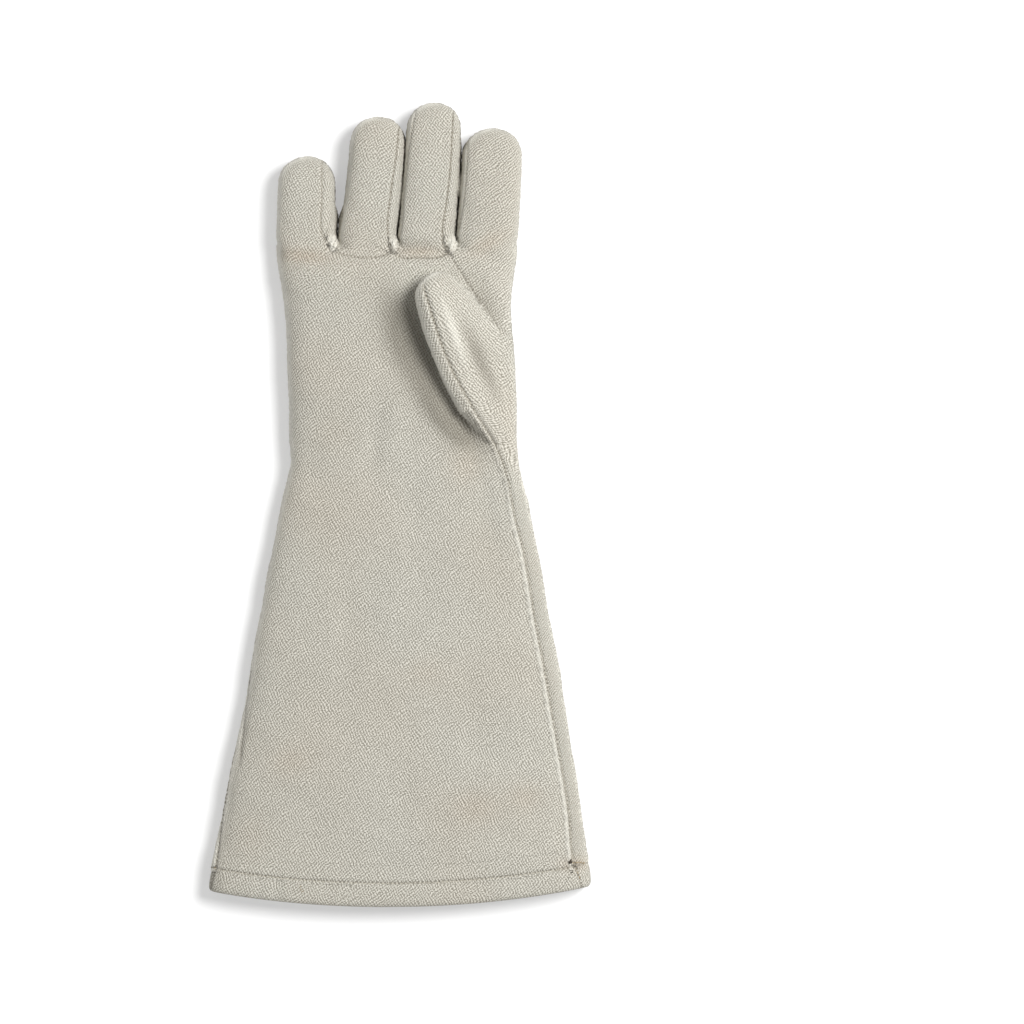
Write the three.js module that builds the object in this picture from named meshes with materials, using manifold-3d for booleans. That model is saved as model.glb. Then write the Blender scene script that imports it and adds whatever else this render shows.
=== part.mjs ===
// A right-hand heat-protective gauntlet glove of thick woven cloth, lying palm up on a flat surface.
// Millimetres, +Z up, fingers towards +Y and the thumb's side towards +X. The origin is on the
// surface, in the middle of the glove's length and of its cuff.
// The glove is a hollow shell of one cloth thickness, cut along its seams into the sewn pieces.
import * as THREE from "three";
import { mergeVertices } from "three/addons/utils/BufferGeometryUtils.js";
import Module from "manifold-3d";

// The cloth and its seams.
const clothThickness = 2.4;
const seamGap = 0.3;
const sideSeamHeight = 9.2;

// The cuff, from the wrist to the hem.
const cuffLength = 254;
const mouthWidth = 220;
const mouthHeight = 24;
const hemDepth = 13;
const hemBow = 10;
const hemTilt = 2.4;
const hemFold = 1.8;
const hemProud = 0.6;
const thumbSideStrip = 8.2;
const littleSideStrip = 3.4;

// The hand, from the wrist to the finger crotches.
const wristWidth = 129.5;
const wristHeight = 23;
const wristShift = 3.2;
const handLength = 121.5;
const palmHeight = 25.5;
const knuckleShift = -1.4;
const handWaist = 4;
const palmFoldDepth = 1.6;
const palmFoldSide = -14;
const palmFoldWidth = 9;

// The fingers: width of the tube, length from crotch to tip and sideways lean of the tip.
const fingerHeight = 22.5;
const fingerSlit = 1.7;
const frontSeamDepth = 7;
const fingerTaper = 0.05;
const nearSeamInset = 2.4;
const farSeamInset = 5.8;
const gussetDepth = 5.2;
const littleWidth = 33.4;
const littleLength = 51;
const littleLean = 0.8;
const ringWidth = 32.2;
const ringLength = 73.5;
const ringLean = 7;
const middleWidth = 31.8;
const middleLength = 81.5;
const middleLean = 5.2;
const indexWidth = 34.6;
const indexLength = 67.3;
const indexLean = 3.6;

// The thumb, which lies over the palm.
const thumbLength = 105;
const thumbWidth = 46;
const thumbThickness = 22;
const thumbLean = 30;
const thumbTilt = 25;
const thumbRise = 37;
const thumbRootInset = 10;
const thumbRootHeight = 7;
const thumbSeamInset = 7.6;
const thumbPieceEnd = 0.74;
const thumbCrotchDrop = 6;

const sectionSides = { body: 40, finger: 20, thumb: 22 };

// The flare of the cuff. along: share of the cuff from the wrist. left, right: share of the flare on
// the little finger's side and the thumb's side. height: share of the way from wrist to mouth height.
const cuffSections = [
  { along: 1.04, left: 1.03, right: 1.02, height: 1 },
  { along: 0.86, left: 0.87, right: 0.91, height: 1 },
  { along: 0.65, left: 0.65, right: 0.72, height: 0.9 },
  { along: 0.45, left: 0.45, right: 0.52, height: 0.6 },
  { along: 0.25, left: 0.265, right: 0.31, height: 0.25 },
  { along: 0.1, left: 0.11, right: 0.125, height: 0.05 },
];

// The hand. along: share of the hand from the wrist. spread: share of the way from the wrist's edges
// to the knuckles' edges. waist: share of the waist below the index finger. height: share of the
// palm's. fold: share of the depth of the soft fold up the heel of the palm.
const handSections = [
  { along: 0, spread: 0, waist: 0, height: 0.9, fold: 1 },
  { along: 0.12, spread: 0.1, waist: 0.3, height: 0.95, fold: 1 },
  { along: 0.3, spread: 0.15, waist: 0.3, height: 1, fold: 0.7 },
  { along: 0.5, spread: 0.25, waist: 0.55, height: 1, fold: 0.2 },
  { along: 0.7, spread: 0.4, waist: 1, height: 1, fold: 0 },
  { along: 0.82, spread: 0.6, waist: 0.75, height: 0.98, fold: 0 },
  { along: 0.92, spread: 0.85, waist: 0.25, height: 0.93, fold: 0 },
  { along: 0.97, spread: 0.97, waist: 0, height: 0.84, fold: 0 },
  { along: 1, spread: 0.99, waist: 0, height: 0.72, fold: 0 },
];

// The thumb, from its tip to its root. along: share of its length. left, right: its edges beside its
// axis, as shares of its width. rise, thick and tilt: shares of those sizes.
const thumbSections = [
  { along: 0.004, left: 0.17, right: 0.32, rise: 1.0, thick: 0.18, tilt: 0.4 },
  { along: 0.02, left: 0.08, right: 0.42, rise: 1.0, thick: 0.42, tilt: 0.5 },
  { along: 0.05, left: 0.015, right: 0.5, rise: 0.99, thick: 0.68, tilt: 0.6 },
  { along: 0.1, left: -0.024, right: 0.55, rise: 0.97, thick: 0.87, tilt: 0.7 },
  { along: 0.18, left: -0.076, right: 0.608, rise: 0.92, thick: 0.96, tilt: 0.82 },
  { along: 0.29, left: -0.13, right: 0.665, rise: 0.83, thick: 1, tilt: 0.92 },
  { along: 0.41, left: -0.18, right: 0.732, rise: 0.73, thick: 1, tilt: 1 },
  { along: 0.5, left: -0.206, right: 0.77, rise: 0.65, thick: 1, tilt: 1 },
  { along: 0.6, left: -0.218, right: 0.69, rise: 0.575, thick: 1, tilt: 1 },
  { along: 0.72, left: -0.225, right: 0.52, rise: 0.49, thick: 0.96, tilt: 0.95 },
  { along: 0.85, left: -0.228, right: 0.36, rise: 0.385, thick: 0.85, tilt: 0.7 },
  { along: 1, left: -0.22, right: 0.2, rise: 0.28, thick: 0.72, tilt: 0.5 },
];

const wristY = cuffLength - (cuffLength + handLength + middleLength) / 2;
const crotchY = wristY + handLength;
const hemY = wristY - cuffLength;
const reach = mouthWidth;
const ceiling = thumbRise + thumbThickness + palmHeight;

const wasm = await Module();
wasm.setup();

const mix = THREE.MathUtils.lerp;
const radians = THREE.MathUtils.degToRad;

function solidFrom(geometry) {
  geometry.deleteAttribute("normal");
  geometry.deleteAttribute("uv");
  const merged = mergeVertices(geometry, 1e-4);
  return new wasm.Manifold(
    new wasm.Mesh({
      numProp: 3,
      vertProperties: merged.attributes.position.array,
      triVerts: new Uint32Array(merged.index.array),
    }),
  );
}

// A closed skin over rings with the same number of points, with flat ends.
function loft(rings) {
  const count = rings[0].length;
  const last = (rings.length - 1) * count;
  const index = [];
  for (let start = 0; start < last; start += count) {
    for (let i = 0; i < count; i++) {
      const a = start + i;
      const b = start + ((i + 1) % count);
      index.push(a, b + count, b, a, a + count, b + count);
    }
  }
  for (let i = 1; i + 1 < count; i++) {
    index.push(0, i, i + 1, last, last + i + 1, last + i);
  }
  const geometry = new THREE.BufferGeometry().setFromPoints(rings.flat());
  geometry.setIndex(index);
  return solidFrom(geometry);
}

// What stands over a plan outline between two heights.
function prism(outline, low, high) {
  const geometry = new THREE.ExtrudeGeometry(
    new THREE.Shape(outline.map(([x, y]) => new THREE.Vector2(x, y))),
    { depth: high - low, bevelEnabled: false },
  );
  return solidFrom(geometry.translate(0, 0, low));
}

// One ring of a soft tube that lies on the surface: rounded sides, a crowned top and a flat underside.
// inset is the distance in from the cloth's outer face, and surface the height of the flat underside.
function restingRing({ y, left, right, top, fold = 0, round, inset, surface, sides, close = 1 }) {
  const middle = (left + right) / 2;
  const half = (right - left) / 2 - inset;
  return Array.from({ length: sides }, (_, i) => {
    const turn = (2 * Math.PI * (i + 0.5)) / sides;
    const across = Math.sign(Math.cos(turn)) * Math.abs(Math.cos(turn)) ** round;
    const up = Math.abs(Math.sin(turn)) ** round * close;
    const x = middle + half * across;
    const dent = fold * palmFoldDepth * Math.exp(-(((x - palmFoldSide) / palmFoldWidth) ** 2));
    const upper = sideSeamHeight + (top - inset - sideSeamHeight) * up - dent;
    const lower = Math.max(surface, sideSeamHeight - (sideSeamHeight - inset) * 1.25 * up);
    return new THREE.Vector3(x, y, Math.sin(turn) > 0 ? upper : lower);
  });
}

const fingers = [
  { name: "little", width: littleWidth, length: littleLength, lean: littleLean },
  { name: "ring", width: ringWidth, length: ringLength, lean: ringLean },
  { name: "middle", width: middleWidth, length: middleLength, lean: middleLean },
  { name: "index", width: indexWidth, length: indexLength, lean: indexLean },
];

// Fingers stand side by side at the knuckles, a slit apart, centred on the hand.
const knuckleWidth =
  fingers.reduce((sum, { width }) => sum + width, 0) + fingerSlit * (fingers.length - 1);
let nextLeft = knuckleShift - knuckleWidth / 2;
for (const finger of fingers) {
  finger.base = nextLeft + finger.width / 2;
  finger.tipY = crotchY + finger.length;
  nextLeft += finger.width + fingerSlit;
}

const wristEdges = [wristShift - wristWidth / 2, wristShift + wristWidth / 2];
const knuckleEdges = [knuckleShift - knuckleWidth / 2, knuckleShift + knuckleWidth / 2];

// Stations of the hand and cuff from the hem to the crotches, as real sizes.
const bodyStations = [
  ...cuffSections.map(({ along, left, right, height }) => ({
    y: wristY - cuffLength * along,
    left: mix(wristEdges[0], -mouthWidth / 2, left),
    right: mix(wristEdges[1], mouthWidth / 2, right),
    top: mix(wristHeight, mouthHeight, height),
    round: 0.78,
  })),
  ...handSections.map(({ along, spread, waist, height, fold }) => ({
    y: wristY + handLength * along,
    fold,
    left: mix(wristEdges[0], knuckleEdges[0], spread),
    right: mix(wristEdges[1], knuckleEdges[1], spread) - handWaist * waist,
    top: mix(wristHeight, palmHeight * height, Math.min(1, along * 4)),
    round: 0.68,
  })),
];

// The left or right edge of the body at a height up the glove.
function bodyEdge(edge, y) {
  const next = bodyStations.findIndex((station) => station.y >= y);
  if (next <= 0) return (next ? bodyStations.at(-1) : bodyStations[0])[edge];
  const [a, b] = [bodyStations[next - 1], bodyStations[next]];
  return mix(a[edge], b[edge], (y - a.y) / (b.y - a.y));
}

function bodySolid(inset, surface = inset) {
  return loft(
    bodyStations.map((station, i) =>
      restingRing({
        ...station,
        y: i + 1 === bodyStations.length ? station.y - inset : station.y,
        inset,
        surface,
        sides: sectionSides.body,
      }),
    ),
  );
}

function fingerShare({ length }, y) {
  return THREE.MathUtils.clamp((y - crotchY) / length, 0, 1);
}

function fingerCentre(finger, y) {
  return finger.base + finger.lean * (1 - (1 - fingerShare(finger, y)) ** 1.6);
}

function fingerHalf(finger, y) {
  return (finger.width / 2) * (1 - fingerTaper * fingerShare(finger, y));
}

function fingerSolid(finger, inset) {
  const rootY = crotchY - 0.55 * finger.width;
  const radius = fingerHalf(finger, finger.tipY);
  const shoulderY = finger.tipY - radius;
  const straight = [
    { y: rootY, close: 0.8, top: fingerHeight * 0.86 },
    { y: crotchY - 2, close: 0.975, top: fingerHeight },
    ...[0.12, 0.4, 0.7, 1].map((share) => ({
      y: mix(crotchY, shoulderY, share),
      close: 1,
      top: fingerHeight,
    })),
  ];
  const tip = [22, 42, 58, 71, 81].map((degrees) => ({
    y: shoulderY + (radius - inset) * Math.sin(radians(degrees)),
    close: Math.cos(radians(degrees)),
    top: fingerHeight,
  }));
  return loft(
    [...straight, ...tip].map(({ y, close, top }) => {
      const centre = fingerCentre(finger, y);
      const half = (fingerHalf(finger, y) - inset) * close + inset;
      return restingRing({
        y,
        left: centre - half,
        right: centre + half,
        top,
        round: 0.82,
        inset,
        surface: inset,
        sides: sectionSides.finger,
        close: y > shoulderY ? Math.sqrt(close) : 1,
      });
    }),
  );
}

// The thumb's axis in plan, from its root at the wrist, and a point beside it at a share of its length.
const thumbRoot = new THREE.Vector3(
  wristEdges[1] - thumbRootInset,
  wristY + thumbRootHeight,
  0,
);
const thumbAlong = new THREE.Vector3(-Math.sin(radians(thumbLean)), Math.cos(radians(thumbLean)), 0);
const thumbAcross = new THREE.Vector3(thumbAlong.y, -thumbAlong.x, 0);

function thumbPoint(along, beside, height) {
  return thumbRoot
    .clone()
    .addScaledVector(thumbAlong, thumbLength * (1 - along))
    .addScaledVector(thumbAcross, beside)
    .setZ(height);
}

const thumbStations = thumbSections.map(({ along, left, right, rise, thick, tilt }) => ({
  along,
  left: left * thumbWidth,
  right: right * thumbWidth,
  centre: (thumbWidth * (left + right)) / 2,
  half: (thumbWidth * (right - left)) / 2,
  height: thumbRise * rise,
  thick: (thumbThickness * thick) / 2,
  slope: Math.tan(radians(thumbTilt * tilt)),
}));

function thumbSolid(inset) {
  const rings = thumbStations.map((station) =>
    Array.from({ length: sectionSides.thumb }, (_, i) => {
      const turn = (2 * Math.PI * (i + 0.5)) / sectionSides.thumb;
      const wide = Math.sign(Math.cos(turn)) * Math.abs(Math.cos(turn)) ** 0.9;
      const high = Math.sign(Math.sin(turn)) * Math.abs(Math.sin(turn)) ** 0.9;
      const beside = Math.max(station.half - inset, 0.6) * wide;
      const up = Math.max(station.thick - inset, 0.5) * high;
      return thumbPoint(
        Math.max(station.along, 0.004 + inset / thumbLength),
        station.centre + beside,
        station.height - beside * station.slope + up,
      );
    }),
  );
  return loft(rings.reverse());
}

// Everything above the thumb's own seam, which runs up its inner edge on the side that shows, round
// the tip and back along its outer edge.
function aboveThumbSeam(lift) {
  const rows = [{ ...thumbStations.at(-1), along: 1.4 }, ...thumbStations.toReversed()];
  const tip = { ...thumbStations[0], along: -0.3 };
  return loft(
    [...rows, tip].map(({ along, left, right, centre, half, height, thick, slope }) => {
      const inset = Math.min(thumbSeamInset, 0.25 * (right - left));
      const share = 1 - inset / half;
      const seamHeight = height + half * share * slope + thick * Math.sqrt(1 - share * share);
      const edgeHeight = height - half * slope;
      const fall = (edgeHeight - seamHeight) / (2 * half - inset);
      const top = thumbRise + ceiling;
      const line = [left + inset - thumbWidth, left + inset, right, right + thumbWidth].map((beside) =>
        thumbPoint(along, beside, seamHeight + fall * (beside - left - inset) + lift),
      );
      return [
        ...line,
        thumbPoint(along, right + thumbWidth, top),
        thumbPoint(along, left + inset - thumbWidth, top),
      ];
    }),
  );
}

// A point of the thumb's seam in plan.
function thumbSeamPoint({ along, left, right }, margin) {
  const { x, y } = thumbPoint(along, left + Math.min(thumbSeamInset, 0.25 * (right - left)) - margin, 0);
  return [x, y];
}

// The part of the thumb that is made of its own two pieces, grown by a margin.
function thumbZone(margin) {
  const ends = [
    thumbPoint(thumbPieceEnd + margin / thumbLength, -reach, 0),
    thumbPoint(thumbPieceEnd + margin / thumbLength, reach, 0),
    thumbPoint(-1, reach, 0),
    thumbPoint(-1, -reach, 0),
  ];
  return thumbSolid(-margin).intersect(prism(ends.map(({ x, y }) => [x, y]), 0, ceiling));
}

// The fourchette between two neighbouring fingers in plan, grown by a margin. It reaches from the
// seam on one finger's front to the seam on the next one's, and ends in a small point below the slit.
function fourchetteOutline(a, b, margin) {
  const bottom = crotchY - gussetDepth;
  const rows = [0, 0.25, 0.5, 0.75, 1].map((share) => crotchY + middleLength * share);
  const leftSeam = rows.map((y) => [
    fingerCentre(a, y) + fingerHalf(a, y) - farSeamInset - margin,
    y,
  ]);
  const rightSeam = rows.map((y) => [
    fingerCentre(b, y) - fingerHalf(b, y) + nearSeamInset + margin,
    y,
  ]);
  const slit = b.base - (b.width + fingerSlit) / 2;
  return [
    ...leftSeam,
    [leftSeam.at(-1)[0], ceiling + reach],
    [rightSeam.at(-1)[0], ceiling + reach],
    ...rightSeam.reverse(),
    [slit + 1.1 + margin, bottom - margin],
    [slit - 1.1 - margin, bottom - margin],
  ];
}

// The front of a finger between two slits in plan, down to the curved seam across its base.
function fingerFrontOutline({ base, width, lean }, margin) {
  const from = base - (width + fingerSlit) / 2;
  const to = base + (width + fingerSlit) / 2;
  const seam = [0, 0.25, 0.5, 0.75, 1].map((share) => [
    mix(from, to, share),
    crotchY - mix(gussetDepth - 1.5, frontSeamDepth, Math.sin(Math.PI * share) ** 0.6) - margin,
  ]);
  return [...seam, [to + lean, ceiling + reach], [from + lean, ceiling + reach]];
}

const thumbCrotch = thumbStations.find(({ along }) => along === 0.5);
const thumbCrotchPoint = thumbPoint(thumbCrotch.along, thumbCrotch.right, 0);

// The front of the index finger in plan, with the tongue that runs down to the thumb.
function indexFrontOutline({ base, width, lean }, margin) {
  const slit = base - (width + fingerSlit) / 2;
  const from = [slit, crotchY - gussetDepth + 1];
  const to = [thumbCrotchPoint.x - 2, thumbCrotchPoint.y];
  const seam = [0, 0.2, 0.5, 0.75, 1].map((share) => [
    mix(from[0], to[0], share) - margin * 0.8,
    mix(from[1], to[1], share) - 2.5 * Math.sin(Math.PI * share) - margin * 0.6,
  ]);
  return [
    ...seam,
    [reach, thumbCrotchPoint.y - thumbCrotchDrop - margin],
    [reach, ceiling + reach],
    [slit + lean, ceiling + reach],
  ];
}

// What belongs to the back of the glove: all below the side seams, and the strips of it that come
// round to the front along the cuff and below the thumb.
function backRegion(margin) {
  const top = ceiling + reach;
  const rows = [
    [hemY - hemDepth * 2, thumbSideStrip * 0.8],
    [mix(wristY, hemY, 0.9), thumbSideStrip * 0.86],
    [mix(wristY, hemY, 0.5), thumbSideStrip],
    [mix(wristY, hemY, 0.14), thumbSideStrip * 1.1],
    [mix(wristY, hemY, 0.03), thumbSideStrip * 1.03],
    [wristY + 2, thumbSideStrip * 1.2],
  ];
  const thumbSide = [
    ...rows.map(([y, strip]) => [bodyEdge("right", y) - strip - margin, y]),
    ...thumbStations.slice(-5, -1).reverse().map((station) => thumbSeamPoint(station, margin)),
    [thumbCrotchPoint.x - thumbCrotchDrop, thumbCrotchPoint.y - thumbCrotchDrop],
    [reach, thumbCrotchPoint.y - thumbCrotchDrop + margin],
    [reach, -top],
  ];
  const littleSide = [
    [bodyEdge("left", hemY) + littleSideStrip * 1.3 + margin, hemY - hemDepth * 2],
    [bodyEdge("left", mix(wristY, hemY, 0.6)) + littleSideStrip + margin, mix(wristY, hemY, 0.6)],
    [bodyEdge("left", mix(wristY, hemY, 0.3)), mix(wristY, hemY, 0.25) + margin],
    [-reach, mix(wristY, hemY, 0.25) + margin],
    [-reach, -top],
  ];
  return prism(
    [
      [-reach, -top],
      [reach, -top],
      [reach, top],
      [-reach, top],
    ],
    -ceiling,
    sideSeamHeight + margin,
  )
    .add(prism(thumbSide, 0, ceiling))
    .add(prism(littleSide, 0, ceiling));
}

// The edge of the hem bows out in the middle. Everything below a line that runs side by side with it.
function belowHemLine(height, margin = 0) {
  const line = [-1.2, -1, -0.8, -0.5, -0.2, 0.2, 0.5, 0.8, 1, 1.2].map((share) => [
    (share * mouthWidth) / 2,
    hemY + height + margin + hemBow * share * share + (hemTilt * share) / 2,
  ]);
  return prism([...line, [reach, hemY - reach], [-reach, hemY - reach]], -ceiling, ceiling);
}

function mainPiece(solid) {
  const parts = solid.decompose();
  return parts.reduce((main, part) => (part.volume() > main.volume() ? part : main));
}

const half = seamGap / 2;
const joined = (solids) => solids.reduce((sum, solid) => sum.add(solid));
const outside = (inset) =>
  joined([bodySolid(inset), thumbSolid(inset), ...fingers.map((finger) => fingerSolid(finger, inset))]);
const cloth = outside(0).subtract(outside(clothThickness)).subtract(belowHemLine(hemDepth, half));
const handCloth = cloth.subtract(thumbZone(half));
const thumbCloth = cloth.intersect(thumbZone(-half));

const back = handCloth.intersect(backRegion(-half));
const front = handCloth.subtract(backRegion(half));
const [little, ring, middle, index] = fingers;
const fourchette = (a, b, margin) => prism(fourchetteOutline(a, b, margin), 0, ceiling);
const fingerFront = (finger, margin) => prism(fingerFrontOutline(finger, margin), 0, ceiling);
const indexFront = (margin) => prism(indexFrontOutline(index, margin), 0, ceiling);
const sideStrip = (a, b) => front.intersect(fourchette(a, b, -half));
const cutFront = front
  .subtract(fourchette(little, ring, half))
  .subtract(fourchette(ring, middle, half))
  .subtract(fourchette(middle, index, half));
const palm = cutFront
  .subtract(fingerFront(ring, half))
  .subtract(fingerFront(middle, half))
  .subtract(indexFront(half));

const hem = bodySolid(-hemProud, 0)
  .subtract(bodySolid(clothThickness + hemFold))
  .intersect(belowHemLine(hemDepth, -half))
  .subtract(belowHemLine(0));

const pieces = [
  { name: "back_panel", solid: back, color: 0xc6c2b3 },
  { name: "palm_panel", solid: palm, color: 0xc8c4b6 },
  { name: "ring_finger_front", solid: cutFront.intersect(fingerFront(ring, -half)), color: 0xcac6b8 },
  { name: "middle_finger_front", solid: cutFront.intersect(fingerFront(middle, -half)), color: 0xc7c2b2 },
  { name: "index_finger_front", solid: cutFront.intersect(indexFront(-half)), color: 0xc9c4b5 },
  { name: "little_ring_fourchette", solid: sideStrip(little, ring), color: 0xc4bfaf },
  { name: "ring_middle_fourchette", solid: sideStrip(ring, middle), color: 0xc4bfaf },
  { name: "middle_index_fourchette", solid: sideStrip(middle, index), color: 0xc4bfaf },
  { name: "thumb_outer", solid: thumbCloth.intersect(aboveThumbSeam(half)), color: 0xcbc7b9 },
  { name: "thumb_inner", solid: thumbCloth.subtract(aboveThumbSeam(-half)), color: 0xc3beae },
  { name: "cuff_hem", solid: hem, color: 0xcac5b7 },
];

const glove = new THREE.Group();
glove.name = "gauntlet_glove";
for (const { name, solid, color } of pieces) {
  const mesh = mainPiece(solid).getMesh();
  const geometry = new THREE.BufferGeometry();
  geometry.setAttribute("position", new THREE.BufferAttribute(mesh.vertProperties, 3));
  geometry.setIndex(new THREE.BufferAttribute(mesh.triVerts, 1));
  geometry.computeVertexNormals();
  const material = new THREE.MeshStandardMaterial({ color, roughness: 0.93, metalness: 0 });
  const piece = new THREE.Mesh(geometry, material);
  piece.name = name;
  glove.add(piece);
}

const box = new THREE.Box3().setFromObject(glove);
const centre = box.getCenter(new THREE.Vector3());
for (const piece of glove.children) piece.geometry.translate(-centre.x, -centre.y, -box.min.z);

export default glove;
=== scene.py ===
# A heat-protective gauntlet glove of thick woven cloth, lying palm up.
# The cloth forms are worked out in millimetres and set in the scene in metres.
import math
import bpy
import numpy as np
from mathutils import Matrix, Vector
from mathutils.bvhtree import BVHTree


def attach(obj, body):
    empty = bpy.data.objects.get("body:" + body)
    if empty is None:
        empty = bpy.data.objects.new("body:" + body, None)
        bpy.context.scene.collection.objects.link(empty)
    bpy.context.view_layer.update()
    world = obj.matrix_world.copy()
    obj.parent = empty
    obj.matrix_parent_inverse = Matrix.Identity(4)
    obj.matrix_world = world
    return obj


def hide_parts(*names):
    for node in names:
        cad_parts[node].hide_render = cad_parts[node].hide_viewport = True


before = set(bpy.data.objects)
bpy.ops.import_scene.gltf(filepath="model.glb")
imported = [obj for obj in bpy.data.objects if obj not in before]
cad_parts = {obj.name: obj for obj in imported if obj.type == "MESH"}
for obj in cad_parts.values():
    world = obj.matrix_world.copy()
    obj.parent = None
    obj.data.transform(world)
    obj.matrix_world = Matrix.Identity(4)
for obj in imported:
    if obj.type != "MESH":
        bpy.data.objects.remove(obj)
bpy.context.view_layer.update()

MM = 0.001
CLOTH = 2.4
SIDE_SEAM = 9.2
SHIFT_X = -0.3

# The cuff and the hand.
CUFF = 254
HAND = 121.5
WRIST_Y = 25.5
CROTCH_Y = WRIST_Y + HAND
HEM_Y = WRIST_Y - CUFF
MOUTH = 220
MOUTH_HEIGHT = 24
WRIST = (-61.55, 67.95)
WRIST_HEIGHT = 23
PALM_HEIGHT = 25.5
KNUCKLES = (-69.95, 67.15)
WAIST = 4
HEM_DEPTH = 13
HEM_BOW = 10
HEM_TILT = 2.4
HEM_PROUD = 0.6
HEM_FOLD = 1.8

# Share of the cuff from the wrist, of the flare on the little finger's side and on the thumb's side,
# and of the way from wrist to mouth height.
CUFF_SECTIONS = [
    (1.06, 1.05, 1.04, 1),
    (0.86, 0.87, 0.91, 1),
    (0.65, 0.65, 0.72, 0.9),
    (0.45, 0.45, 0.52, 0.6),
    (0.25, 0.265, 0.31, 0.25),
    (0.1, 0.11, 0.125, 0.05),
]

# Share of the hand from the wrist, of the spread to the knuckles, of the waist below the index
# finger, and of the palm's height.
HAND_SECTIONS = [
    (0, 0, 0, 0.9),
    (0.12, 0.1, 0.3, 0.95),
    (0.3, 0.15, 0.3, 1),
    (0.5, 0.25, 0.55, 1),
    (0.7, 0.4, 1, 1),
    (0.82, 0.6, 0.75, 0.98),
    (0.92, 0.85, 0.25, 0.93),
    (0.97, 0.97, 0, 0.86),
    (1, 0.99, 0, 0.74),
]

# Width, length from crotch to tip, sideways lean of the tip and middle of the base.
FINGER_HEIGHT = 22.5
FINGER_TAPER = 0.05
FINGERS = {
    "little": (33.4, 51, 0.8, -53.25),
    "ring": (32.2, 73.5, 7, -18.75),
    "middle": (31.8, 81.5, 5.2, 14.95),
    "index": (34.6, 67.3, 3.6, 49.85),
}

# The thumb: length, width, thickness, lean in degrees, tilt in degrees, rise and root.
THUMB_LENGTH = 105
THUMB_WIDTH = 46
THUMB_THICKNESS = 22
THUMB_LEAN = math.radians(30)
THUMB_TILT = 25
THUMB_RISE = 37
THUMB_ROOT = (57.95, 32.5)
THUMB_SEAM_INSET = 7.6
THUMB_PIECE_END = 0.74

# Share of the thumb's length from its tip, its edges beside its axis as shares of its width, and
# shares of its rise, thickness and tilt.
THUMB_SECTIONS = [
    (0.004, 0.22, 0.36, 1.0, 0.18, 0.4),
    (0.02, 0.125, 0.44, 1.0, 0.42, 0.5),
    (0.05, 0.045, 0.51, 0.99, 0.68, 0.6),
    (0.1, -0.01, 0.56, 0.97, 0.87, 0.7),
    (0.18, -0.07, 0.61, 0.92, 0.96, 0.82),
    (0.29, -0.13, 0.665, 0.83, 1, 0.92),
    (0.41, -0.18, 0.732, 0.73, 1, 1),
    (0.5, -0.206, 0.77, 0.65, 1, 1),
    (0.6, -0.218, 0.69, 0.575, 1, 1),
    (0.72, -0.218, 0.52, 0.53, 0.97, 0.97),
    (0.85, -0.185, 0.36, 0.495, 0.88, 0.85),
    (1, -0.13, 0.2, 0.35, 0.74, 0.55),
]

# Seams of the front in plan, each from its finger's or the thumb's end.
SEAMS = {
    "little_right": [(-43.5, 203), (-43.5, 194), (-43.5, 173.3), (-43.3, 153.4), (-39.8, 146.6)],
    "ring_left": [(-26.8, 214), (-28.7, 201.7), (-31.6, 176.1), (-34.4, 153.4), (-37.3, 146.6)],
    "ring_right": [(0.3, 214), (-1.1, 201.2), (-4.4, 177), (-6, 153.4), (-5.3, 148.8), (-3.7, 143.7)],
    "middle_left": [(8, 216), (5.6, 203), (2.6, 173), (0.6, 153.4), (-1.1, 148.2), (-3.7, 143.7)],
    "middle_right": [(31, 219), (29.9, 197), (27.6, 173.3), (25, 153.4), (25.3, 147.7), (28.7, 142.5)],
    "index_left": [(39.3, 208), (36.7, 173.3), (33.3, 153.4), (31.6, 147), (28.7, 142.5)],
    "ring_base": [(-37.3, 146.6), (-35.6, 143.7), (-28.7, 141.4), (-11, 140.8), (-3.7, 143.1)],
    "middle_base": [(-3.7, 143.7), (0.3, 140.8), (11.7, 140.3), (23.6, 140.8), (28.2, 143.1)],
    "index_base": [(28.7, 142), (33.3, 135.1), (41.3, 123.2), (49.8, 112.4), (60, 99.3), (64, 97)],
    "little_side": [(-77.1, -48.6), (-82.8, -85.6), (-88.5, -114.1), (-94.2, -145.4), (-100.4, -178.4),
                    (-103.8, -207)],
    "thumb_side": [(39.9, 58.4), (49.8, 42.4), (57.8, 27.6), (61.7, 15.6), (66.3, -8.8), (70.3, -24.2),
                   (73.7, -42.4), (76.5, -59.5), (82.8, -94.2), (87.3, -120.3), (91.9, -145.4),
                   (96.5, -174.4), (98.7, -200), (99.9, -207)],
}


def smooth(xs, ys, x):
    """A soft curve through the points (xs, ys)."""
    xs, ys = np.asarray(xs, float), np.asarray(ys, float)
    slope = np.gradient(ys, xs)
    i = np.clip(np.searchsorted(xs, x) - 1, 0, len(xs) - 2)
    h = xs[i + 1] - xs[i]
    t = np.clip((x - xs[i]) / h, 0, 1)
    return (
        ys[i] * (2 * t**3 - 3 * t**2 + 1)
        + ys[i + 1] * (3 * t**2 - 2 * t**3)
        + slope[i] * h * (t**3 - 2 * t**2 + t)
        + slope[i + 1] * h * (t**3 - t**2)
    )


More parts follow.
